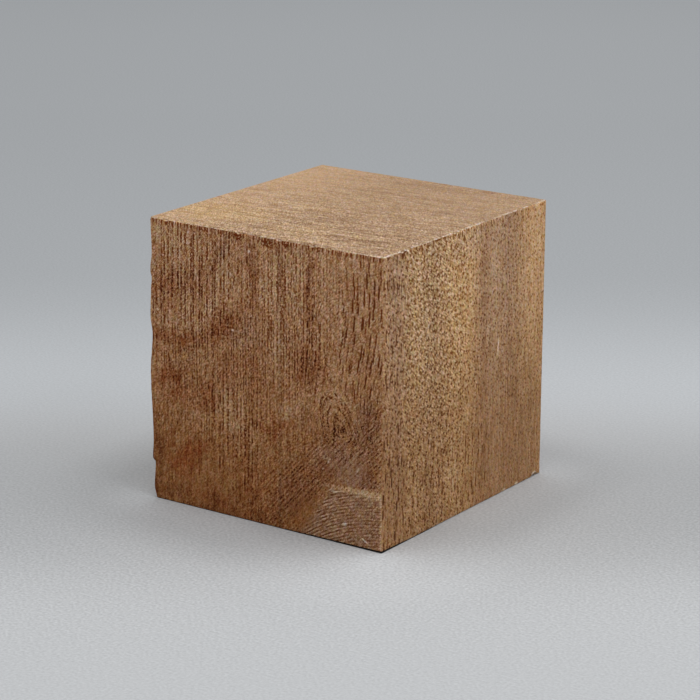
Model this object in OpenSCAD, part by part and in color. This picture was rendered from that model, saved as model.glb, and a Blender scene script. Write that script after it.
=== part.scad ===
// Hardwood block, close to a cube, cut from planed stock with its grain standing upright.
// The front (-Y), the right side (+X) and the back are planed, and the two ends are sanded.
// The left side (-X) is left as the saw cut it. Origin: centre of the foot, +Z up. Millimetres.

/* [Block] */
// Width across the front, from the crest of the saw's ripples to the right side
block_width = 48.2; // [30:0.2:90]
// Depth from the front to the back
block_depth = 50; // [30:0.5:90]
// Height along the grain, from end to end
block_height = 50; // [30:0.5:90]
// Radius that sanding left on the upright arrises and on those round the top
arris_radius = 0.2; // [0.1:0.05:1]
// Radius of the arrises round the foot, which are nearly sharp
foot_arris_radius = 0.1; // [0.05:0.05:1]

/* [Sawn side] */
// Depth of the deepest hollow between two ripples
ripple_depth = 0.8; // [0.1:0.05:1.6]
// Height of the strip along the foot where the saw tore the fibres out
tear_height = 6.5; // [2:0.5:12]
// How far the torn strip lies behind the highest ripple
tear_depth = 0.85; // [0.2:0.05:2]
// Height over which the surface drops from the last ripple into the torn strip
tear_lip = 0.8; // [0.2:0.1:2]

/* [Foot relief] */
// How far the hollow under the front right corner runs along the front
relief_along_front = 26; // [5:0.5:28]
// How far the same hollow runs along the right side
relief_along_side = 10; // [5:0.5:28]
// Height of the gap that it leaves under the corner
relief_gap = 0.35; // [0.1:0.05:1.5]

/* [Knocks] */
// Depth of the chip in the foot's right arris, measured square to the arris
foot_chip_depth = 0.5; // [0.1:0.05:1.2]
// Length of that chip along the arris
foot_chip_length = 2.6; // [1:0.1:6]
// Distance from the chip's middle to the back face
foot_chip_inset = 1.9; // [1.5:0.1:10]
// Depth of each small knock along the two top arrises, measured square to the arris
knock_depth = 0.3; // [0.15:0.05:0.6]
// Length of each small knock along its arris
knock_length = 1; // [0.5:0.1:3]

/* [Hidden] */

// Each small circle that rounds an arris, and each ball that cuts a knock
$fn = 48;
// How far a cutting solid runs past what it cuts
overrun = 5;
// Short steps that draw one slope between a crest and a hollow
slope_steps = 6;

right_x = block_width / 2;
crest_x = -block_width / 2;
front_y = -block_depth / 2;
back_y = block_depth / 2;

// Crests and hollows above the torn strip, from bottom to top:
// [share of the height above the strip, share of ripple_depth behind the highest crest]
RIPPLES = [
    [0, 0.25], [0.08, 0.6], [0.36, 0], [0.52, 0.85], [0.6, 0.25],
    [0.7, 0.6], [0.75, 0.85], [0.78, 0.5], [0.86, 1], [1, 0.8]
];

// The torn strip from the foot to its top: [share of tear_height, share of tear_depth]
TORN = [[0, 1.15], [0.33, 0.65], [1, 1]];

// Knocks along the front top arris, as shares of the width from the sawn side
FRONT_KNOCKS = [0.08, 0.4, 0.57, 0.71, 0.78];
// Knocks along the right top arris, as shares of the depth from the front
SIDE_KNOCKS = [0.11, 0.42, 0.83];

// Half a cosine wave from 0 to 1, the shape of a slope between a crest and a hollow
function ease(t) = (1 - cos(180 * t)) / 2;

// Points [depth, height] down a list of [height, depth] marks, with an eased slope between marks
function slopes(marks) = [
    for (i = [0 : len(marks) - 2])
        for (s = [0 : slope_steps - 1])
            let (
                t = s / slope_steps,
                low = marks[i],
                high = marks[i + 1]
            )
            [low[1] + (high[1] - low[1]) * ease(t), low[0] + (high[0] - low[0]) * t]
];

// Radius of the ball that cuts a knock of a given depth and length into a straight arris
function knock_ball(depth, length) = (depth * depth + length * length / 4) / (2 * depth);

// Rectangle with true round corners, centred on the origin, with a radius of its own
// for the lower two corners and for the upper two
module rounded_outline(width, height, low_radius, high_radius) {
    translate([0, (low_radius - high_radius) / 2])
        square([width, height - low_radius - high_radius], center = true);
    for (end = [[-1, low_radius], [1, high_radius]]) {
        side = end[0];
        radius = end[1];
        translate([0, side * height / 4])
            square([width - 2 * radius, height / 2], center = true);
        for (x = [-1, 1])
            translate([x * (width / 2 - radius), side * (height / 2 - radius)])
                circle(r = radius);
    }
}

// The planed block with every arris eased, too wide on the left by the stock that the saw removes
module planed_stock() {
    stock_width = block_width + overrun;
    translate([-overrun / 2, 0, block_height / 2])
        intersection() {
            translate([0, 0, -block_height / 2])
                linear_extrude(height = block_height)
                    rounded_outline(stock_width, block_depth, arris_radius, arris_radius);
            translate([0, block_depth / 2, 0])
                rotate([90, 0, 0])
                    linear_extrude(height = block_depth)
                        rounded_outline(stock_width, block_height, foot_arris_radius, arris_radius);
            translate([-stock_width / 2, 0, 0])
                rotate([90, 0, 90])
                    linear_extrude(height = stock_width)
                        rounded_outline(block_depth, block_height, foot_arris_radius, arris_radius);
        }
}

// The waste beyond the saw's cut: ripples run level from front to back, over a torn strip at the foot
module sawn_waste() {
    ripple_foot = tear_height + tear_lip;
    ripple_span = block_height - ripple_foot;
    torn = [for (mark = TORN) [mark[0] * tear_height, mark[1] * tear_depth]];
    ripples = [for (mark = RIPPLES) [ripple_foot + mark[0] * ripple_span, mark[1] * ripple_depth]];
    cut = concat(slopes(concat(torn, ripples)), [[ripples[len(ripples) - 1][1], block_height]]);
    translate([crest_x, back_y + overrun, 0])
        rotate([90, 0, 0])
            linear_extrude(height = block_depth + 2 * overrun)
                polygon(concat(
                    [[-2 * overrun, block_height + overrun], [-2 * overrun, -overrun]],
                    [[cut[0][0], -overrun]],
                    cut,
                    [[cut[len(cut) - 1][0], block_height + overrun]]
                ));
}

// Shallow hollow under the front right corner: one flat cut, hinged on the line where it runs out
module foot_hollow() {
    run = norm([relief_along_front, relief_along_side]);
    reach = relief_along_front * relief_along_side / run;
    translate([right_x - relief_along_front, front_y, 0])
        rotate([0, 0, atan2(relief_along_side, relief_along_front)])
            rotate([-atan2(relief_gap, reach), 0, 0])
                translate([-block_width, -2 * block_depth, -overrun])
                    cube([3 * block_width, 2 * block_depth, overrun]);
}

// A rounded bite of a given depth and length out of an arris that runs along Y through the origin,
// with the wood on the -X side and on the side that up points away from
module knock(depth, length, up) {
    ball = knock_ball(depth, length);
    standoff = (ball - depth) / sqrt(2);
    translate([standoff, 0, up * standoff])
        sphere(r = ball);
}

module block() {
    color("#8f6f50")
        difference() {
            planed_stock();
            sawn_waste();
            foot_hollow();
            translate([right_x, back_y - foot_chip_inset, 0])
                knock(foot_chip_depth, foot_chip_length, -1);
            for (share = SIDE_KNOCKS)
                translate([right_x, front_y + share * block_depth, block_height])
                    knock(knock_depth, knock_length, 1);
            for (share = FRONT_KNOCKS)
                translate([crest_x + share * block_width, front_y, block_height])
                    rotate([0, 0, -90])
                        knock(knock_depth, knock_length, 1);
        }
}

block();
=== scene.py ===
"""A hardwood block, close to a cube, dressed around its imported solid.

It is one piece of coarse, open-pored tropical wood with the grain upright: planed in front, behind and on
the right, sanded on both ends, and left as the saw cut it on the left. Lengths in the wood are in
millimetres from the middle of the foot, and everything else is in metres.
"""

import math

import bpy
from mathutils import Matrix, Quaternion, Vector


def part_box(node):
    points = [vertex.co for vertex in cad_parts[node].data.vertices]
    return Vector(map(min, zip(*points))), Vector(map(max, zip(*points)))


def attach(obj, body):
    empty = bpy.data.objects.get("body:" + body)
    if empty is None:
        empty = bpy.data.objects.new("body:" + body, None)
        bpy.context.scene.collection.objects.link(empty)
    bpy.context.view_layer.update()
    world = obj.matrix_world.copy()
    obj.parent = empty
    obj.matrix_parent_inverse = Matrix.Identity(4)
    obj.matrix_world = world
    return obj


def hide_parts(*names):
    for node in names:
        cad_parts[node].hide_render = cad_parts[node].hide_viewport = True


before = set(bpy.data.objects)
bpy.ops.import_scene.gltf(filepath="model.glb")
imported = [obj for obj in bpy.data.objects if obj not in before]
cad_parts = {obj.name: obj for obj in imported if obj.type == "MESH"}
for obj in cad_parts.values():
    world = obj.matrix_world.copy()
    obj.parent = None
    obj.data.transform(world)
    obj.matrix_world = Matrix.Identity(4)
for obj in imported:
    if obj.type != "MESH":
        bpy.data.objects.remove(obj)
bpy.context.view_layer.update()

# ---- Camera ------------------------------------------------------------------------------------------
# A long lens half a metre away looks a little down on the block from its front right, so that the front
# shows to the left of the near arris, and the planed right side to the right of it.
view_azimuth = math.radians(35.08)
view_elevation = math.radians(16.46)
view_roll = math.radians(0.19)
view_distance = 0.4642
view_centre = Vector((0.00013, 0.0, 0.02467))
toward_camera = Vector((
    math.sin(view_azimuth) * math.cos(view_elevation),
    -math.cos(view_azimuth) * math.cos(view_elevation),
    math.sin(view_elevation),
))

bpy.ops.object.select_all(action="DESELECT")
bpy.ops.object.camera_add(location=view_centre + toward_camera * view_distance)
camera = bpy.context.object
camera.name = "camera"
camera_turn = toward_camera.to_track_quat("Z", "Y") @ Quaternion((0, 0, 1), view_roll)
camera.rotation_euler = camera_turn.to_euler()
camera.data.sensor_width = 36
camera.data.lens = 137.8
camera.data.clip_start = 0.01
camera.data.clip_end = 20
bpy.context.scene.camera = camera
bpy.context.scene.view_settings.view_transform = "Standard"

# ---- Paper, lamps and room ---------------------------------------------------------------------------
# The block stands on a wide sheet of pale grey paper with a fine tooth, with painted light and shade in soft
# bands that lie square to the camera. Light thrown back by the block is painted on it along the foot, and
# most of all before the near corner, and a painted shadow darkens it under the foot's front half. A wide
# panel overhead, a weaker one to the right and a plain pale room give a soft light.


def new_finish(name):
    """A new material. The one in hand is called finish, and the functions below add nodes to it."""
    made = bpy.data.materials.new(name)
    made.use_nodes = True
    return made


finish = new_finish("grey_paper")


def put(kind, inputs=(), **settings):
    """Add a node to the finish in hand, and feed its inputs with values or with other nodes' outputs."""
    made = finish.node_tree.nodes.new(kind)
    for name, value in settings.items():
        setattr(made, name, value)
    for socket, value in dict(inputs).items():
        if isinstance(value, bpy.types.NodeSocket):
            finish.node_tree.links.new(value, made.inputs[socket])
        else:
            made.inputs[socket].default_value = value
    return made


def calc(operation, *values):
    """A sum of one to three numbers."""
    return put("ShaderNodeMath", enumerate(values), operation=operation).outputs[0]


def add(*values):
    """All the numbers together."""
    total = values[0]
    for value in values[1:]:
        total = calc("ADD", total, value)
    return total


def times(*values):
    """All the numbers multiplied."""
    total = values[0]
    for value in values[1:]:
        total = calc("MULTIPLY", total, value)
    return total


def slope(value, start, end, low=0.0, high=1.0):
    """Goes smoothly from low to high as value goes from start to end, and stays there."""
    limits = {"Value": value, "From Min": start, "From Max": end, "To Min": low, "To Max": high}
    return put("ShaderNodeMapRange", limits, interpolation_type="SMOOTHSTEP").outputs[0]


def flat(across, up, layer=0.0):
    """Two numbers as a place on a face, and a third that tells one layer of a pattern from the next."""
    return put("ShaderNodeCombineXYZ", {0: across, 1: up, 2: layer}).outputs[0]


def placed(vector, centre=(0, 0, 0), size=(1, 1, 1), lean=0.0):
    """The vector seen from a centre, turned by lean degrees in its own plane and divided by size."""
    moves = {
        "Vector": vector,
        "Location": centre,
        "Rotation": (0, 0, math.radians(lean)),
        "Scale": size,
    }
    return put("ShaderNodeMapping", moves, vector_type="TEXTURE").outputs[0]


def noise(vector, size, lean=0.0, detail=1.0):
    """Soft noise of 0 to 1, whose lumps are about size across, along each axis."""
    inputs = {"Vector": placed(vector, size=size, lean=lean), "Scale": 1.0, "Detail": detail}
    return put("ShaderNodeTexNoise", inputs, noise_dimensions="3D").outputs[0]


def bands(share, stops, joined="LINEAR"):
    """Bands of colour, from stops of (share, colour)."""
    made = put("ShaderNodeValToRGB", {0: share})
    made.color_ramp.interpolation = joined
    for stop_share, stop_colour in stops:
        made.color_ramp.elements.new(stop_share).color = (*stop_colour, 1)
    made.color_ramp.elements.remove(made.color_ramp.elements[-1])
    made.color_ramp.elements.remove(made.color_ramp.elements[0])
    return made.outputs[0]


# depth behind the block's middle, tone: painted light and shade, palest in front, darker beside the
# block, paler just behind it
painted_paper_shading_bands = [
    (-0.092, 0.590), (-0.062, 0.595), (-0.048, 0.565), (-0.036, 0.50), (-0.020, 0.447), (0.0, 0.445),
    (0.012, 0.450), (0.031, 0.525), (0.050, 0.588), (0.070, 0.577), (0.092, 0.53), (0.115, 0.485),
    (0.145, 0.445), (0.260, 0.458), (0.340, 0.465), (0.500, 0.547),
]
paper_near, paper_far = -0.12, 0.60
blue_depth, blue_near, blue_far = 0.04, 0.027, 0.041
paper_bands = []
for depth, tone in painted_paper_shading_bands:
    blue = blue_near if depth < blue_depth else blue_far
    paper_grey = (tone * (1 - blue), tone, tone * (1 + blue))
    paper_bands.append(((depth - paper_near) / (paper_far - paper_near), paper_grey))
paper_point = put("ShaderNodeTexCoord").outputs["Object"]
away_from_camera = {0: paper_point, 1: (-math.sin(view_azimuth), math.cos(view_azimuth), 0)}
paper_depth = put("ShaderNodeVectorMath", away_from_camera, operation="DOT_PRODUCT").outputs["Value"]
paper_share = calc("DIVIDE", calc("SUBTRACT", paper_depth, paper_near), paper_far - paper_near)
# The bands of painted light and shade, read along the depth away from the camera
painted_paper_shading = bands(paper_share, paper_bands, "B_SPLINE")

# Painted light thrown back on to the paper near the foot, and a painted shadow under the foot's front half
foot_reach_x, foot_reach_y = 0.024, 0.025
near_corner = (0.024, -0.028, 0)
painted_foot_light, painted_corner_light, painted_corner_core_light = 0.22, 0.24, 0.12
painted_shadow_darkness = 0.9
paper_x, paper_y = put("ShaderNodeSeparateXYZ", {0: paper_point}).outputs[:2]
beside_foot = calc("MAXIMUM", calc("SUBTRACT", calc("ABSOLUTE", paper_x), foot_reach_x), 0.0)
ahead_of_foot = calc("MAXIMUM", calc("SUBTRACT", calc("ABSOLUTE", paper_y), foot_reach_y), 0.0)
foot_to_here = {0: flat(beside_foot, ahead_of_foot)}
from_foot = put("ShaderNodeVectorMath", foot_to_here, operation="LENGTH").outputs["Value"]
corner_to_here = {0: paper_point, 1: near_corner}
from_corner = put("ShaderNodeVectorMath", corner_to_here, operation="DISTANCE").outputs["Value"]
# Painted light on the paper along the foot and around the near corner
painted_light_along_foot = times(slope(from_foot, 0.012, 0.0), slope(from_corner, 0.012, 0.030), painted_foot_light)
painted_light_by_corner = add(
    slope(from_corner, 0.027, 0.0, 0.0, painted_corner_light),
    slope(from_corner, 0.010, 0.0, 0.0, painted_corner_core_light),
)
# Painted shadow on the paper under the foot's front half
painted_shadow_under_block = times(
    slope(calc("ABSOLUTE", add(paper_x, -0.0005)), 0.0236, 0.0235),
    slope(calc("ABSOLUTE", paper_y), 0.0249, 0.0248),
    slope(paper_y, -0.006, -0.012),
)

# The tooth bites most a little in front of the block, and has a faint wider mottle in it
tooth_size, mottle_size = 0.0005, 0.002
mottle_share, middle_of_both = 0.07, 0.535
deepest_bite_ahead, bite_width = 0.035, 0.07
bite = slope(calc("ABSOLUTE", add(paper_depth, deepest_bite_ahead)), 0.0, bite_width, 0.62, 0.3)
tooth = noise(paper_point, (tooth_size, tooth_size, 1.0))
mottle = times(noise(paper_point, (mottle_size, mottle_size, 1.0)), mottle_share)
tooth = add(1.0, times(add(tooth, mottle, -middle_of_both), bite))
# The paper's colour is scaled by its tooth, the painted light near the foot and the painted shadow under it
painted_light_and_tooth = times(
    add(1.0, painted_light_along_foot, painted_light_by_corner),
    tooth,
    calc("SUBTRACT", 1.0, times(painted_shadow_under_block, painted_shadow_darkness)),
)
toned = {0: painted_paper_shading, "Scale": painted_light_and_tooth}
paper_colour = put("ShaderNodeVectorMath", toned, operation="SCALE").outputs[0]
paper_shader = finish.node_tree.nodes["Principled BSDF"]
finish.node_tree.links.new(paper_colour, paper_shader.inputs["Base Color"])
paper_shader.inputs["Roughness"].default_value = 0.9
paper_shader.inputs["Specular IOR Level"].default_value = 0.1

bpy.ops.mesh.primitive_plane_add(size=8)
paper = bpy.context.object
paper.name = "paper"
paper.data.materials.append(finish)

room = bpy.data.worlds.new("room")
room.use_nodes = True
room.node_tree.nodes["Background"].inputs["Color"].default_value = (1, 1, 1, 1)
room.node_tree.nodes["Background"].inputs["Strength"].default_value = 0.24
bpy.context.scene.world = room

# name, place, size of the square panel, power
lamps = [
    ("overhead_panel", Vector((0.05, 0.0, 0.9)), 0.7, 6.1),
    ("right_panel", Vector((1.3, -0.09, 0.76)), 0.85, 3.3),
]
for lamp_name, lamp_place, lamp_size, lamp_power in lamps:
    bpy.ops.object.light_add(type="AREA", location=lamp_place)
    lamp = bpy.context.object
    lamp.name = lamp_name
    lamp.rotation_euler = (lamp_place - view_centre).to_track_quat("Z", "Y").to_euler()
    lamp.data.size = lamp_size
    lamp.data.energy = lamp_power

# ---- The hardwood block ------------------------------------------------------------------------------
# One piece of wood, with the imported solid's own shape: eased arrises, the rippled saw cut, the torn strip
# at its foot and the hollow under one corner. A fine grid of cuts lets its faces carry the slight
# unevenness of planed and sanded wood, and its arrises their wear.
grid_step = 0.0005
arris_cuts = (0.0001, 0.0002)
same_point = 0.000001
sliver = 0.00002
block_low, block_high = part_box("block")

block_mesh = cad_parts["block"].data.copy()
block = bpy.data.objects.new("hardwood_block", block_mesh)
bpy.context.scene.collection.objects.link(block)
bpy.ops.object.select_all(action="DESELECT")
block.select_set(True)
bpy.context.view_layer.objects.active = block
bpy.ops.object.mode_set(mode="EDIT")
bpy.ops.mesh.select_all(action="SELECT")
bpy.ops.mesh.remove_doubles(threshold=same_point)
bpy.ops.mesh.dissolve_limited(angle_limit=math.radians(0.4))
for axis in range(3):
    low, high = block_low[axis], block_high[axis]
    cells = round((high - low) / grid_step)
    places = [low + (high - low) * cell / cells for cell in range(1, cells)]
    places += [low + inset for inset in arris_cuts]
    places += [high - inset for inset in arris_cuts]
    square_to_axis = Vector([float(axis == other) for other in range(3)])
    for place in sorted(places):
        bpy.ops.mesh.select_all(action="SELECT")
        bpy.ops.mesh.bisect(plane_co=square_to_axis * place, plane_no=square_to_axis)
bpy.ops.mesh.select_all(action="SELECT")
bpy.ops.mesh.remove_doubles(threshold=sliver)
bpy.ops.object.mode_set(mode="OBJECT")

# Wear: every point near an arris may sink in a little, at random along the arris
wear_reach = 0.0005
wear_group = block.vertex_groups.new(name="arrises")
for point in block_mesh.vertices:
    insets = sorted(
        min(point.co[axis] - block_low[axis], block_high[axis] - point.co[axis]) for axis in range(3)
    )
    nearness = 1 - math.hypot(max(insets[0], 0), max(insets[1], 0)) / wear_reach
    if nearness > 0:
        wear_group.add([point.index], nearness, "REPLACE")


def sink(name, grain, depth, group=""):
    """Let the surface sink by up to depth, in soft patches of about grain across. Nothing rises."""
    texture = bpy.data.textures.new(name, "CLOUDS")
    texture.noise_scale = grain
    texture.noise_depth = 2
    modifier = block.modifiers.new(name, "DISPLACE")
    modifier.texture = texture
    modifier.texture_coords = "LOCAL"
    modifier.mid_level = 1.1
    modifier.strength = depth
    modifier.vertex_group = group
    bpy.ops.object.modifier_apply(modifier=name)


sink("planing", grain=0.007, depth=0.00005)
sink("wear", grain=0.0008, depth=0.00016, group="arrises")
bpy.ops.object.shade_smooth_by_angle(angle=math.radians(40))

# ---- The block: planed front and back ----------------------------------------------------------------
# Both faces are cut flat to the rings, so they show long open pores and red-brown stains that follow the
# fibres. The front has a pin knot low on the right, and a fan of fine saw lines in the corner below it.
# The back, which is hidden, has stains of its own.
millimetres = 1000.0
half_width = block_high.x * millimetres
half_depth = block_high.y * millimetres
height = block_high.z * millimetres
finish = new_finish("planed_front_and_back")


def tint(share, under, over):
    """The colour over, laid on the colour under by a share of 0 to 1."""
    layers = {0: share, 6: under, 7: over}
    return put("ShaderNodeMix", layers, data_type="RGBA", clamp_factor=True).outputs[2]


def blend(share, under, over):
    """The number over in place of the number under, by a share of 0 to 1."""
    return put("ShaderNodeMix", {0: share, 2: under, 3: over}, data_type="FLOAT").outputs[0]


def ripple(vector, size, strength, lean=0.0, detail=1.0):
    """The same noise as a swing of up to strength above and below nought."""
    return times(calc("SUBTRACT", noise(vector, size, lean, detail), 0.5), 2 * strength)


def marks(plane, drawn):
    """Soft marks on a face: each is (across, up, half length, half breadth, lean, strength).
    They reach far into the wood, so the plane's own layer doesn't matter."""
    reach = 1000.0
    total = 0.0
    for across, up, half_length, half_breadth, lean, strength in drawn:
        seen = placed(plane, (across, up, 0), (half_length, half_breadth, reach), lean)
        soft = put("ShaderNodeTexGradient", {0: seen}, gradient_type="SPHERICAL").outputs["Fac"]
        total = add(total, slope(soft, 0.0, 0.7, 0.0, strength))
    return total


def pores(plane, spacing, run, breadth, length, lean=0.0):
    """Open pores along the grain: one dash of about breadth by length to each spacing by run.
    Gives the dashes, and the fuzzy pale lip beside each of them."""
    cell = placed(plane, size=(spacing, run, 1), lean=lean)
    scattered = put("ShaderNodeTexVoronoi", {"Vector": cell, "Scale": 1.0}, voronoi_dimensions="2D")
    off = put("ShaderNodeVectorMath", {0: cell, 1: scattered.outputs["Position"]}, operation="SUBTRACT")
    off_across, off_up = put("ShaderNodeSeparateXYZ", {0: off.outputs[0]}).outputs[:2]
    fill = put("ShaderNodeSeparateColor", {0: scattered.outputs["Color"]}).outputs[0]
    half_breadth = breadth / 2 / spacing
    along = slope(calc("ABSOLUTE", off_up), length * 0.3 / run, length * 0.6 / run, 1.0, 0.0)
    depth = times(along, slope(fill, 0.0, 0.6, 0.3, 1.0))
    across = slope(calc("ABSOLUTE", off_across), half_breadth * 0.6, half_breadth * 1.4, 1.0, 0.0)
    beside = calc("ABSOLUTE", calc("SUBTRACT", off_across, half_breadth * 2.4))
    lip = slope(beside, half_breadth * 0.5, half_breadth * 1.6, 1.0, 0.0)
    return times(across, depth), times(lip, depth)


def strings(plane, spacing, run, breadth, lean=0.0):
    """Open pores in single file: one line of about breadth to each spacing, broken into lengths of run.
    Gives the lines, and the fuzzy pale lips on both sides of them."""
    seen = placed(plane, size=(spacing, run, 1), lean=lean)
    seen_across, seen_up = put("ShaderNodeSeparateXYZ", {0: seen}).outputs[:2]
    file_number = calc("FLOOR", seen_across)
    shift = put("ShaderNodeTexWhiteNoise", {"W": file_number}, noise_dimensions="1D").outputs["Value"]
    middle = add(file_number, times(shift, 0.6), 0.2)
    aside = calc("ABSOLUTE", calc("SUBTRACT", seen_across, middle))
    filled = noise(flat(times(file_number, 7.3), seen_up), (1.0, 0.5, 1.0), detail=2.0)
    depth = slope(filled, 0.4, 0.56)
    half_breadth = breadth / 2 / spacing
    across = slope(aside, half_breadth * 0.6, half_breadth * 1.4, 1.0, 0.0)
    beside = calc("ABSOLUTE", calc("SUBTRACT", aside, half_breadth * 2.4))
    lip = slope(beside, half_breadth * 0.5, half_breadth * 1.4, 1.0, 0.0)
    return times(across, depth), times(lip, depth)


def measure():
    """The point on the block in millimetres from the middle of its foot: whole, and along each axis."""
    point = put("ShaderNodeTexCoord").outputs["Object"]
    scaled = put("ShaderNodeVectorMath", {0: point, "Scale": millimetres}, operation="SCALE").outputs[0]
    return scaled, *put("ShaderNodeSeparateXYZ", {0: scaled}).outputs


def fray():
    """Two swings over the points of block_mm: a soft wander, and long teeth along the fibres."""
    return ripple(block_mm, (2.6, 2.6, 2.6), 2.2, detail=3.0), ripple(block_mm, (0.6, 0.6, 6.0), 2.4)


def close_finish(figure, grain, redness, darkness, depth, roughness):
    """Lay the grain over the figure: above nought it brightens the colour, below it darkens and reddens it.
    Small flecks of red and gold go over both, at the points of block_mm. The same grain lifts the
    surface, by about depth millimetres for each 1 of grain."""
    deepest, highest = -1.4, 1.2
    crest_paling, crest_glow = 0.2, 0.18
    shader = finish.node_tree.nodes["Principled BSDF"]
    grain = calc("MINIMUM", calc("MAXIMUM", grain, deepest), highest)
    crest = times(calc("MAXIMUM", grain, 0.0), redness)
    reddening = calc("POWER", 2.0, add(times(grain, -redness), times(crest, crest_paling)))
    redder = put("ShaderNodeGamma", {0: figure, 1: reddening}).outputs[0]
    darker = calc("POWER", 2.0, add(times(grain, darkness), times(crest, crest_glow)))
    worked = put("ShaderNodeVectorMath", {0: redder, "Scale": darker}, operation="SCALE").outputs[0]
    red_fleck = add(1.0, ripple(block_mm, (0.45, 0.45, 0.7), 0.27, detail=2.0))
    gold_fleck = add(1.0, ripple(block_mm, (0.5, 0.5, 0.8), 0.62, lean=20.0, detail=2.0))
    flecks = {0: worked, 1: flat(red_fleck, 1.0, gold_fleck)}
    worked = put("ShaderNodeVectorMath", flecks, operation="MULTIPLY").outputs[0]
    lifted = put("ShaderNodeBump", {"Height": grain, "Distance": depth / millimetres, "Strength": 1.0})
    finish.node_tree.links.new(worked, shader.inputs["Base Color"])
    finish.node_tree.links.new(lifted.outputs[0], shader.inputs["Normal"])
    shader.inputs["Roughness"].default_value = roughness
    shader.inputs["Specular IOR Level"].default_value = 0.1


block_mm, wood_x, wood_y, wood_z = measure()
on_front = slope(wood_y, 5.0, -5.0)
across_front = flat(wood_x, wood_z, wood_y)

# Knot: rings of pores arch over it, higher than they are wide, and lean to the left at the top
knot_x, knot_z = 15.8, 19.6
knot_lean = 0.3
knot_squeeze = 0.58
over_knot = calc("SUBTRACT", wood_z, knot_z)
above_knot = calc("MAXIMUM", over_knot, 0.0)
from_knot = add(wood_x, -knot_x, times(above_knot, knot_lean))
knot_seen = flat(from_knot, times(over_knot, slope(over_knot, -1.0, 1.0, 1.0, knot_squeeze)))
knot_reach = put("ShaderNodeVectorMath", {0: knot_seen}, operation="LENGTH").outputs["Value"]
knot_turn = calc("ARCTAN2", from_knot, over_knot)
round_knot = flat(knot_reach, times(knot_turn, 4.0))
rings, ring_lips = strings(round_knot, spacing=0.85, run=1.0, breadth=0.3)
in_knot = times(slope(knot_reach, 4.9, 4.1), slope(over_knot, -3.5, -1.0), on_front)
bent_x = calc("SUBTRACT", wood_x, times(from_knot, slope(knot_reach, 8.0, 3.0), on_front, 0.3))
along_grain = flat(bent_x, wood_z, wood_y)

# Pores: long beaded files, densest in the top left corner, and bold leaning dashes down the top right
# edge. Below the knot they turn to fine slanting rows.
long_pores, long_lips = strings(along_grain, spacing=0.9, run=5.0, breadth=0.32, lean=-1.0)
fine_pores = strings(along_grain, spacing=0.6, run=2.4, breadth=0.22, lean=0.5)[0]
long_zones = [
    (-13.0, 42.0, 11.0, 14.0, 0, 1.0), (-21.5, 34.0, 5.0, 12.0, 0, 0.3), (4.5, 38.5, 7.0, 15.0, 0, 0.3),
    (-6.0, 15.0, 10.0, 16.0, 0, 0.35), (10.5, 32.0, 4.0, 11.0, 0, 0.35),
]
in_long = calc("MINIMUM", add(0.12, marks(across_front, long_zones)), 1.0)
fine_zones = [(4.5, 38.5, 11.0, 18.0, 0, 0.4), (-10.0, 26.0, 14.0, 14.0, 0, 0.3)]
in_fine = add(0.25, marks(across_front, fine_zones))
below_top = calc("MAXIMUM", calc("SUBTRACT", 46.0, wood_z), 0.0)
leaning_x = add(bent_x, times(below_top, below_top, 0.0058))
leaning_grain = flat(leaning_x, wood_z, wood_y)
leaning_pores, leaning_lips = pores(leaning_grain, spacing=1.0, run=3.2, breadth=0.29, length=2.7)
in_leaning = marks(across_front, [(21.0, 37.0, 8.0, 20.0, 0, 1.0)])
in_leaning = times(calc("MINIMUM", in_leaning, 1.0), on_front)
slant_pores, slant_lips = strings(across_front, spacing=0.62, run=1.3, breadth=0.28, lean=-43.0)
in_slant = times(
    slope(calc("SUBTRACT", wood_z, times(wood_x, 0.667)), 11.5, 7.5),
    slope(wood_x, -2.0, 3.0),
    on_front,
)
open_pores = calc("MAXIMUM", times(long_pores, in_long), times(fine_pores, in_fine))
open_pores = blend(in_slant, open_pores, times(slant_pores, 0.3))
open_pores = blend(in_leaning, open_pores, calc("MAXIMUM", leaning_pores, times(open_pores, 0.3)))
open_pores = blend(in_knot, open_pores, times(rings, 0.55))
pore_lips = blend(in_slant, times(long_lips, in_long), times(slant_lips, 0.6))
pore_lips = blend(in_leaning, pore_lips, times(leaning_lips, 0.8))
pore_lips = blend(in_knot, pore_lips, times(ring_lips, 0.4))
beads = slope(noise(block_mm, (0.3, 0.3, 0.36)), 0.41, 0.57, 0.0, 1.2)
open_pores = times(open_pores, blend(in_leaning, beads, add(0.3, times(beads, 0.6))))

# Sawn patch: a fan of fine curved lines in the bottom right corner, under one pale line. The lines are
# arcs about a point below the foot
fan_centre_x, fan_centre_below_foot = 27.0, 25.0
fan_pitch = 0.55
fan_top = calc("SUBTRACT", wood_z, times(wood_x, 0.03))
in_fan = times(
    slope(calc("SUBTRACT", wood_x, times(wood_z, 0.7)), 6.3, 8.7),
    slope(fan_top, 9.2, 8.7),
    on_front,
)
from_fan = flat(calc("SUBTRACT", wood_x, fan_centre_x), calc("ADD", wood_z, fan_centre_below_foot))
fan_reach = put("ShaderNodeVectorMath", {0: from_fan}, operation="LENGTH").outputs["Value"]
fan_lines = add(
    ripple(flat(fan_reach, wood_x), (0.22, 1.7, 1.0), 1.3),
    times(calc("SINE", times(fan_reach, 2 * math.pi / fan_pitch)), 0.35),
)
fan_lines = times(fan_lines, slope(wood_x, 20.0, 13.0, 0.7, 1.4))
fan_edges = [(19.0, 9.2, 8.5, 0.75, 0, 1.0), (22.5, 9.0, 3.5, 1.2, 0, 0.7)]
fan_edge = times(marks(flat(wood_x, fan_top), fan_edges), on_front)
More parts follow.
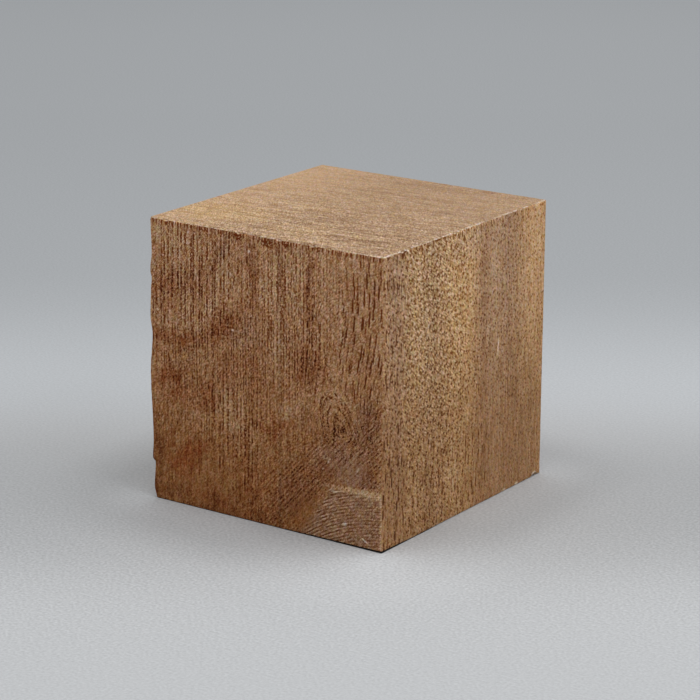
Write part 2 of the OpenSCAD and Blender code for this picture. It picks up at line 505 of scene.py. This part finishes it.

# Grain of the front: patches that the planer left quiet, notches under the top arris, burrs of pale
# raised fibre with painted glints, gouges where fibres came out, and slanting fuzz that smears the pores
# low on the left
pore_grain, pore_grain_in_fan, gouge_grain = -3.3, -0.3, -2.2
notch_reach, notch_root = 1.2, 0.5
quiet = marks(across_front, [
    (-14.0, 4.0, 17.0, 14.0, 0, 0.28), (8.5, 4.0, 6.5, 3.5, 50, 0.45), (17.5, 12.5, 8.0, 3.0, 5, 0.4),
])
under_end = times(slope(wood_z, height - notch_reach, height - notch_root), on_front)
notches = times(under_end, slope(noise(flat(wood_x, 3.0), (0.4, 1.0, 1.0)), 0.5, 0.6))
burrs_and_glints = marks(across_front, [
    (-2.7, 47.0, 0.5, 0.4, 0, 1.0), (-6.2, 33.0, 0.35, 0.25, 0, 1.0), (-22.2, 34.0, 0.4, 0.3, 0, 0.8),
    (16.7, 3.6, 0.7, 0.55, 30, 0.8), (20.8, 1.5, 1.1, 0.22, -30, 1.0), (13.5, 14.0, 0.9, 0.22, 60, 0.6),
    (14.6, 8.9, 1.0, 0.25, 10, 0.7), (12.3, 12.4, 0.4, 0.25, 0, 0.6), (11.5, 45.5, 0.4, 0.3, 0, 0.5),
    (19.3, 13.5, 0.8, 0.3, 50, 0.6), (-12.8, 44.5, 0.35, 0.25, 0, 0.6),
])
burrs_and_glints = times(burrs_and_glints, on_front)
gouges = marks(across_front, [
    (-5.0, 49.2, 1.2, 0.8, 0, 1.0), (1.2, 49.0, 1.4, 1.0, 0, 0.9), (4.8, 49.2, 1.0, 0.8, 0, 0.9),
    (11.4, 49.3, 0.5, 0.9, 0, 1.0), (16.2, 19.8, 0.6, 1.0, -20, 1.0), (14.6, 19.2, 0.4, 1.2, 0, 0.9),
    (14.9, 21.9, 0.4, 0.9, -20, 0.8), (21.6, 19.2, 0.5, 0.6, 0, 0.9), (-20.0, 49.4, 0.4, 0.7, 0, 0.9),
    (-14.1, 48.6, 0.35, 0.4, 0, 0.8), (1.5, 43.2, 0.35, 0.35, 0, 0.8),
])
smeared = times(slope(wood_z, 26.0, 12.0), slope(wood_x, 8.0, -4.0), on_front)
front_grain = add(
    0.1,
    times(ripple(across_front, (0.6, 1.7, 9.0), 0.9, lean=-22.0, detail=2.0), smeared),
    times(open_pores, blend(in_fan, pore_grain, pore_grain_in_fan)),
    times(pore_lips, 0.5),
    times(ripple(across_front, (0.55, 0.2, 9.0), 1.25, lean=47.0), blend(in_fan, 1.0, 0.95)),
    times(ripple(flat(bent_x, wood_z, 5.0), (0.5, 4.0, 9.0), 0.5), blend(in_fan, 1.0, 0.2)),
    ripple(block_mm, (0.19, 0.19, 0.22), 1.1),
    times(fan_lines, in_fan),
    times(notches, gouge_grain),
    times(gouges, beads, on_front, gouge_grain),
    times(burrs_and_glints, 0.9),
)
front_grain = times(front_grain, slope(wood_z, 2.0, 40.0, 0.87, 1.08), calc("SUBTRACT", 1.0, quiet))

# Figure: no mark is a neat ellipse, because its edges wander and run out in teeth along the fibres
wander, teeth = fray()
front_figure = flat(add(wood_x, wander), add(wood_z, teeth, wander))
red_stains = [
    (-16.5, 39.5, 8.0, 4.0, 10, 0.6), (-21.0, 37.5, 4.5, 3.5, 90, 0.5), (-8.0, 33.3, 7.5, 2.6, 32, 1.2),
    (-18.7, 29.3, 8.5, 2.2, 2, 1.1), (-20.0, 23.0, 4.5, 2.4, 15, 1.0), (-17.0, 20.0, 4.0, 2.0, -60, 0.9),
    (-11.5, 20.8, 4.5, 2.2, 85, 0.9), (-8.2, 25.5, 4.5, 1.8, 80, 0.8), (-4.0, 28.8, 5.0, 2.0, 5, 0.5),
    (-0.9, 25.8, 4.0, 1.8, 100, 0.8), (-4.0, 25.0, 4.5, 4.0, 0, 0.2), (-16.4, 8.8, 7.5, 3.0, 38, 1.5),
    (2.0, 17.5, 6.0, 1.8, 15, 0.9), (9.8, 29.5, 4.6, 4.6, 0, 1.0), (7.0, 8.0, 12.0, 3.6, 44, 0.6),
    (-1.0, 7.0, 6.5, 2.8, 20, 0.6), (-5.0, 10.5, 5.0, 3.0, 80, 0.3), (9.6, 41.0, 12.0, 1.2, 90, 0.8),
    (-2.0, 43.0, 10.0, 1.3, 90, 0.7), (3.4, 43.0, 9.0, 0.8, 90, 0.6), (-20.0, 11.0, 5.0, 1.2, 70, 0.5),
    (-7.0, 1.5, 13.0, 3.5, 0, 0.7), (-19.5, 20.5, 4.0, 3.0, 0, 0.5), (-13.0, 20.0, 3.5, 3.5, 0, 0.5),
    (-16.0, 5.0, 6.0, 1.6, 80, 0.5),
]
dark_stains = [
    (-16.5, 40.5, 5.5, 2.8, 15, 0.3), (-8.6, 45.5, 6.5, 2.0, 55, 0.7), (-2.0, 43.0, 9.0, 1.2, 90, 0.3),
    (9.6, 38.0, 10.0, 1.2, 90, 0.35), (9.8, 29.5, 4.0, 3.0, 90, 0.5), (8.4, 21.5, 6.0, 2.5, 90, 0.3),
    (22.0, 44.0, 6.5, 1.2, 108, 0.5), (21.5, 19.0, 10.0, 3.0, 90, 1.0), (15.5, 18.0, 6.0, 4.5, 0, 0.8),
    (-11.0, 2.0, 4.0, 2.0, 90, 0.9), (-6.0, 2.0, 4.0, 2.0, 90, 0.7), (-1.5, 3.5, 6.0, 2.0, 90, 0.7),
    (-4.0, 0.3, 16.0, 2.5, 0, 0.5), (8.8, 8.0, 12.5, 4.2, 45, 1.05), (7.0, 12.5, 6.0, 3.0, 45, 0.6),
    (-23.2, 8.0, 10.0, 2.8, 90, 1.0), (-20.0, 2.0, 6.0, 3.0, 0, 0.8), (22.0, 12.0, 3.0, 2.5, 0, 0.6),
    (22.0, 3.0, 4.5, 2.0, 90, 0.6), (17.5, 38.0, 6.0, 2.5, 90, 0.3), (22.0, 32.0, 4.0, 3.0, 90, 0.4),
]
pale_figure = [
    (-19.0, 47.0, 6.0, 4.0, 0, 1.0), (-7.0, 40.5, 4.5, 5.0, 0, 0.7), (1.2, 43.0, 9.0, 2.2, 90, 0.8),
    (7.0, 42.5, 10.0, 2.8, 90, 1.2), (13.5, 40.0, 11.5, 5.5, 90, 0.6), (14.5, 48.0, 9.0, 3.0, 0, 0.9),
    (16.0, 29.8, 4.5, 3.0, 0, 1.0), (14.0, 25.0, 6.0, 2.4, 0, 0.4), (2.9, 39.0, 13.0, 2.3, 90, 1.3),
    (-22.3, 48.0, 2.5, 2.5, 0, 0.8), (-16.0, 32.8, 9.0, 2.4, 5, 0.9), (-6.5, 18.5, 5.0, 3.5, 90, 0.9),
    (-14.2, 16.0, 4.0, 2.0, 90, 0.4), (6.0, 21.8, 7.0, 2.2, 32, 0.8), (23.8, 39.0, 12.0, 1.4, 90, 0.8),
    (-17.5, 41.0, 4.0, 2.0, 90, 0.4),
]
cool_patches = [
    (16.5, 14.0, 8.5, 5.0, 0, 0.9), (21.0, 21.0, 7.0, 4.0, 90, 0.6), (-3.5, 33.0, 5.0, 3.0, 25, 0.4),
    (20.5, 11.5, 4.5, 2.6, 0, 0.6), (6.5, 7.5, 7.5, 4.2, 45, 0.4),
]

# Colours of the front, from the foot up to the top, and what lies over them
foot_brown, top_brown = (0.395, 0.165, 0.055, 1), (0.575, 0.292, 0.140, 1)
pale_brown = (0.67, 0.385, 0.20, 1)
cool_brown = (0.40, 0.22, 0.135, 1)
stain_red = (0.34, 0.10, 0.027, 1)
stain_dark = (0.22, 0.068, 0.020, 1)
fan_brown = (0.322, 0.186, 0.118, 1)
edge_gold = (0.66, 0.41, 0.22, 1)
# Pale gold of the near arris: partly wear, partly a painted highlight
arris_gold_and_highlight = (0.62, 0.40, 0.22, 1)
# Pale colour of the burrs: partly raised fibre, partly painted glints
bare_fibre_and_glint = (0.74, 0.58, 0.42, 1)
combed = slope(noise(along_grain, (0.42, 4.0, 9.0), detail=2.0), 0.35, 0.62, 1.15, 0.65)
front_colour = tint(slope(wood_z, 0.0, height), foot_brown, top_brown)
pale_behind = slope(noise(front_figure, (6.0, 9.0, 9.0)), 0.5, 0.7)
pale = blend(on_front, pale_behind, marks(front_figure, pale_figure))
front_colour = tint(times(pale, 0.55), front_colour, pale_brown)
cool = times(marks(front_figure, cool_patches), on_front)
front_colour = tint(times(cool, 0.7), front_colour, cool_brown)
red_behind = slope(noise(front_figure, (9.0, 4.0, 5.0), lean=25.0), 0.5, 0.7)
red = blend(on_front, red_behind, marks(front_figure, red_stains))
front_colour = tint(times(red, combed, 0.7), front_colour, stain_red)
dark_behind = slope(noise(front_figure, (3.0, 14.0, 7.0)), 0.54, 0.7)
dark = blend(on_front, dark_behind, marks(front_figure, dark_stains))
front_colour = tint(times(dark, combed, 0.6), front_colour, stain_dark)
front_colour = tint(times(in_fan, 0.5), front_colour, fan_brown)
front_colour = tint(times(fan_edge, 0.75), front_colour, edge_gold)
# The near arris low down is tinted pale: partly worn, partly a painted highlight
arris_wear_and_highlight = times(slope(wood_x, half_width - 0.6, half_width - 0.2), slope(wood_z, 14.0, 8.0), on_front)
front_colour = tint(times(arris_wear_and_highlight, 0.6), front_colour, arris_gold_and_highlight)
# The burrs are tinted pale: partly raised fibre, partly painted glints
front_colour = tint(times(burrs_and_glints, 0.45), front_colour, bare_fibre_and_glint)
close_finish(front_colour, front_grain, redness=0.88, darkness=0.3, depth=0.04, roughness=0.7)
block_mesh.materials.clear()
block_mesh.materials.append(finish)

# ---- The block: planed right side --------------------------------------------------------------------
# Cut square to the rings, so their bands stand upright: grey-brown, gold, reddish and gold again, from
# front to back. A wormy fleck lies over them, strongest near the front, with pits and short dashes in it.
finish = new_finish("planed_right_side")
block_mm, wood_x, wood_y, wood_z = measure()
across_side = flat(wood_y, wood_z, wood_x)

# Grain of the side: pits and a wormy fleck, mostly in its front half and high up, and short dashes of
# pores along the near arris and low down
pit_grain, dash_grain, side_gouge_grain = -2.3, -1.1, -2.4
side_fuzz = ripple(block_mm, (0.16, 0.16, 0.2), 1.3)
side_pits = pores(across_side, spacing=0.95, run=0.9, breadth=0.34, length=0.42, lean=-35.0)[0]
side_dashes = pores(across_side, spacing=1.3, run=4.0, breadth=0.3, length=1.8, lean=-2.0)[0]
pitted = times(
    slope(wood_y, half_depth * 0.3, half_depth * -0.3, 0.4, 1.0),
    slope(wood_y, -20.0, -16.0, 0.58, 1.0),
    slope(wood_z, 5.0, 35.0, 0.56, 1.12),
)
dashed = add(
    slope(wood_y, -17.0, -21.0, 0.0, 0.9),
    times(slope(wood_z, 22.0, 10.0, 0.3, 0.9), slope(wood_y, 10.0, 4.0)),
)
furred = flat(add(wood_y, times(side_fuzz, 0.1)), wood_z, wood_x)
worms = ripple(furred, (0.75, 0.22, 9.0), 2.1, lean=-36.0, detail=1.5)
side_grain = add(
    0.2,
    times(side_pits, pitted, pit_grain),
    times(side_dashes, dashed, dash_grain),
    times(worms, pitted),
    ripple(across_side, (0.45, 4.0, 9.0), 0.6),
    times(side_fuzz, 0.35),
)
under_end = times(
    slope(wood_z, height - notch_reach, height - notch_root),
    slope(wood_y, 12.0, 2.0, 0.3, 1.0),
)
notches = times(under_end, slope(noise(flat(wood_y, 8.0), (0.4, 1.0, 1.0)), 0.54, 0.62))
side_gouges = marks(across_side, [
    (-19.4, 49.2, 0.9, 0.4, 90, 1.0), (-13.8, 49.0, 0.6, 0.35, 90, 0.7), (-9.3, 49.8, 1.4, 0.4, 0, 1.0),
    (-3.9, 49.7, 0.6, 0.5, 0, 1.0), (-1.2, 48.3, 0.6, 0.4, -60, 1.0), (-1.2, 45.4, 0.5, 0.4, 0, 1.0),
    (-1.4, 42.4, 0.5, 0.35, 0, 0.8),
])
# Burrs by the top and along the foot: pale raised fibre, partly painted glints
side_burrs_and_glints = marks(across_side, [
    (-9.4, 45.8, 0.4, 0.3, 0, 0.9), (-18.0, 49.8, 0.5, 0.4, 0, 1.0), (10.0, 27.3, 2.1, 0.22, 88, 0.55),
    (22.8, 0.5, 1.1, 0.6, 0, 0.8), (17.0, 0.3, 0.9, 0.4, 0, 0.7), (12.7, 0.3, 0.9, 0.4, 0, 0.6),
])
side_grain = add(side_grain, times(notches, gouge_grain), times(side_gouges, side_gouge_grain), side_burrs_and_glints)

# Rings of the side: share of the depth from the front, colour
side_bands = [
    (0.01, (0.53, 0.29, 0.145)), (0.06, (0.47, 0.265, 0.145)), (0.10, (0.48, 0.27, 0.145)),
    (0.15, (0.60, 0.355, 0.175)), (0.21, (0.62, 0.37, 0.18)), (0.27, (0.565, 0.335, 0.172)),
    (0.34, (0.62, 0.365, 0.18)), (0.42, (0.71, 0.415, 0.19)), (0.52, (0.72, 0.415, 0.185)),
    (0.56, (0.59, 0.335, 0.165)), (0.60, (0.50, 0.27, 0.14)), (0.66, (0.56, 0.33, 0.185)),
    (0.70, (0.55, 0.32, 0.175)), (0.76, (0.48, 0.27, 0.15)), (0.82, (0.55, 0.31, 0.155)),
    (0.91, (0.72, 0.415, 0.20)), (0.98, (0.69, 0.395, 0.19)),
]
side_pale = [
    (-1.0, 38.0, 14.0, 4.0, 90, 0.5), (22.0, 43.0, 9.0, 4.0, 90, 0.6), (-15.0, 34.0, 12.0, 3.5, 90, 0.5),
    (-4.0, 9.0, 9.0, 2.5, 90, 0.6), (10.0, 27.0, 2.0, 0.6, 90, 1.0), (12.0, 39.0, 2.0, 0.6, 90, 0.8),
]
side_dark = [
    (-20.0, 13.0, 13.0, 3.5, 90, 0.8), (-21.5, 4.0, 4.5, 3.0, 90, 0.3), (-13.0, 11.0, 3.0, 2.5, 0, 0.5),
    (5.2, 35.0, 14.0, 1.4, 90, 0.7), (6.0, 8.0, 7.0, 1.6, 90, 0.8), (5.5, 20.0, 4.0, 1.6, 90, 0.5),
    (15.0, 18.0, 7.0, 3.0, 90, 0.9), (15.0, 3.0, 5.0, 3.0, 90, 0.6), (-24.2, 15.0, 16.0, 1.8, 90, 0.7),
    (10.5, 9.0, 9.0, 5.0, 90, 0.5), (16.5, 26.0, 6.0, 2.5, 90, 0.4), (20.0, 9.0, 18.0, 7.0, 90, 1.0),
    (-10.0, 38.0, 9.0, 1.6, 90, 0.4), (-11.0, 3.0, 4.0, 4.0, 0, 0.5), (9.0, 19.0, 7.0, 3.0, 90, 0.4),
    (-7.5, 4.0, 4.0, 2.5, 90, 0.5),
]
foot_shade = (0.36, 0.170, 0.064, 1)
side_gold = (0.80, 0.51, 0.26, 1)
side_brown = (0.30, 0.145, 0.065, 1)
dust = (0.66, 0.43, 0.27, 1)
wander, teeth = fray()
side_figure = flat(add(wood_y, wander), add(wood_z, teeth, wander))
share_from_front = calc("DIVIDE", add(wood_y, times(wander, 0.4), half_depth), 2 * half_depth)
banded = bands(share_from_front, side_bands)
side_colour = tint(slope(wood_z, 45.0, 9.0, 0.0, 0.72), banded, foot_shade)
side_colour = tint(times(marks(side_figure, side_pale), 0.35), side_colour, side_gold)
side_colour = tint(times(marks(side_figure, side_dark), 0.45), side_colour, side_brown)
dusty = marks(side_figure, [(-0.5, 47.5, 7.0, 5.0, 0, 1.0)])
side_colour = tint(times(dusty, 0.5), side_colour, dust)
# The burrs are tinted pale: partly raised fibre, partly painted glints
side_colour = tint(times(side_burrs_and_glints, 0.5), side_colour, bare_fibre_and_glint)
close_finish(side_colour, side_grain, redness=0.75, darkness=0.4, depth=0.04, roughness=0.7)
block_mesh.materials.append(finish)

# ---- The block: sawn left side -----------------------------------------------------------------------
# As the saw left it, so paler, duller and furry: fine scratches lie level across it along the ripples,
# short torn fibres stand between them, and the strip at the foot is all torn fibres.
finish = new_finish("sawn_left_side")
block_mm, wood_x, wood_y, wood_z = measure()
across_sawn = flat(wood_y, wood_z, wood_x)
torn_from, torn_below = 7.4, 6.2
torn = slope(add(wood_z, ripple(block_mm, (1.0, 1.0, 3.0), 2.0)), torn_from, torn_below)
scratches = add(
    ripple(across_sawn, (9.0, 0.3, 9.0), 1.2, lean=3.0, detail=2.0),
    ripple(across_sawn, (14.0, 1.1, 9.0), 0.9, lean=-2.0),
)
tufts = ripple(across_sawn, (0.3, 2.0, 9.0), 1.4, lean=4.0, detail=2.0)
sawn_pores = pores(across_sawn, spacing=1.0, run=2.2, breadth=0.3, length=1.5)[0]
sawn_grain = add(
    times(scratches, blend(torn, 1.0, 0.2)),
    times(tufts, blend(torn, 0.6, 1.2)),
    times(sawn_pores, slope(noise(across_sawn, (5.0, 11.0, 9.0)), 0.4, 0.6, -0.4, -1.3)),
    ripple(block_mm, (0.16, 0.16, 0.2), 1.0),
)
sawn_bands = noise(flat(wood_y, times(wood_z, 0.1)), (6.0, 6.0, 1.0), detail=2.0)
furry_brown, furry_gold = (0.50, 0.30, 0.17, 1), (0.62, 0.39, 0.22, 1)
torn_brown = (0.38, 0.19, 0.09, 1)
sawn_colour = tint(slope(sawn_bands, 0.35, 0.65), furry_brown, furry_gold)
sawn_colour = tint(times(torn, 0.6), sawn_colour, torn_brown)
close_finish(sawn_colour, sawn_grain, redness=0.75, darkness=0.4, depth=0.09, roughness=0.85)
block_mesh.materials.append(finish)

# ---- The block: sanded ends --------------------------------------------------------------------------
# End grain, the palest wood on the block. Sanding closed most of its pores, and the rings are left as
# faint lines that run nearly level from left to right.
finish = new_finish("sanded_ends")
block_mm, wood_x, wood_y, wood_z = measure()
across_end = flat(wood_x, wood_y, wood_z)

# Grain of the ends: closed pores, coarsest towards the front and finest towards the sawn side
coarseness = times(slope(wood_y, 20.0, -20.0, 0.65, 1.5), slope(wood_x, -22.0, -4.0, 0.7, 1.0))
end_grain = add(
    times(ripple(across_end, (0.6, 0.18, 9.0), 1.05, lean=-55.0), coarseness),
    times(slope(noise(across_end, (4.0, 0.5, 9.0), lean=5.0, detail=2.0), 0.15, 0.7, -0.40, 0.2), coarseness),
    ripple(block_mm, (0.16, 0.16, 0.2), 0.4),
)
end_dark = [
    (-1.0, -19.5, 11.0, 0.8, 6, 1.0), (14.0, -17.6, 12.0, 0.9, 6, 1.2), (8.0, -13.0, 17.0, 1.6, 6, 0.8),
    (4.0, -0.5, 5.0, 1.4, 5, 0.8), (16.0, 5.8, 10.0, 1.2, 6, 0.9), (13.4, 23.6, 2.4, 1.3, 4, 1.8),
    (21.0, -24.0, 3.0, 2.0, 0, 0.8), (-1.5, -6.5, 2.0, 1.8, 0, 0.3), (9.0, -4.5, 6.0, 2.0, 0, 0.7),
    (2.0, 13.0, 18.0, 1.6, 5, 0.6), (-16.0, 6.0, 8.0, 1.0, 4, 0.5), (-17.0, 2.0, 8.0, 0.8, 4, 0.3),
    (2.0, 21.0, 14.0, 3.0, 0, 0.5),
]
end_pale = [
    (-6.5, -4.0, 9.0, 2.4, 5, 1.0), (-21.0, -18.0, 5.0, 4.0, 0, 0.7), (9.0, -23.0, 10.0, 1.6, 4, 0.7),
    (-21.0, -5.0, 4.0, 2.0, 0, 0.5), (12.0, -15.6, 9.0, 0.8, 6, 0.7), (18.0, 16.0, 6.0, 2.4, 0, 0.4),
]
left_straw, right_straw = (0.515, 0.335, 0.20, 1), (0.43, 0.278, 0.168, 1)
pale_straw = (0.56, 0.37, 0.21, 1)
ring_brown = (0.29, 0.165, 0.09, 1)
gold_straw = (0.54, 0.352, 0.168, 1)
# Pale straw of the arrises: partly wear, partly a painted highlight
straw_wear_and_highlight = (0.74, 0.60, 0.46, 1)
wander = ripple(block_mm, (2.6, 2.6, 2.6), 1.4, detail=3.0)
end_figure = flat(add(wood_x, wander), add(wood_y, times(wander, 0.4)))
end_colour = tint(slope(wood_x, -half_width, 0.0), left_straw, right_straw)
end_colour = tint(times(marks(end_figure, end_pale), 0.5), end_colour, pale_straw)
end_colour = tint(times(marks(end_figure, end_dark), 0.45), end_colour, ring_brown)
golden = marks(end_figure, [(-15.0, -15.0, 13.0, 9.0, 0, 1.0), (2.0, -18.0, 8.0, 6.0, 0, 0.5)])
end_colour = tint(times(golden, 0.5), end_colour, gold_straw)

# The arrises towards the right side and the front are pale in broken lengths: partly worn, partly a
# painted highlight where they catch the light
end_arris_wear_and_highlight = calc(
    "MAXIMUM",
    slope(wood_x, half_width - 0.5, half_width - 0.2),
    times(slope(wood_y, 0.4 - half_depth, 0.2 - half_depth), 0.5),
)
end_arris_wear_and_highlight = times(end_arris_wear_and_highlight, slope(noise(block_mm, (0.9, 0.9, 0.9)), 0.4, 0.6))
end_colour = tint(times(end_arris_wear_and_highlight, 0.8), end_colour, straw_wear_and_highlight)
close_finish(end_colour, end_grain, redness=0.75, darkness=0.45, depth=0.02, roughness=0.7)
block_mesh.materials.append(finish)

# ---- The block: its faces and its place --------------------------------------------------------------
# Each face takes the finish of the side that it looks to most, and a sloping one that of the ends. The
# block is one loose piece of wood that stands on its foot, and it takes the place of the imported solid.
front_and_back, right_side, left_side, ends = range(4)
slope_of_end = 0.6
for face in block_mesh.polygons:
    aside, ahead, up = (abs(share) for share in face.normal)
    if up > slope_of_end * max(aside, ahead):
        face.material_index = ends
    elif ahead > aside:
        face.material_index = front_and_back
    else:
        face.material_index = right_side if face.normal.x > 0 else left_side

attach(block, "root")
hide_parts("block")
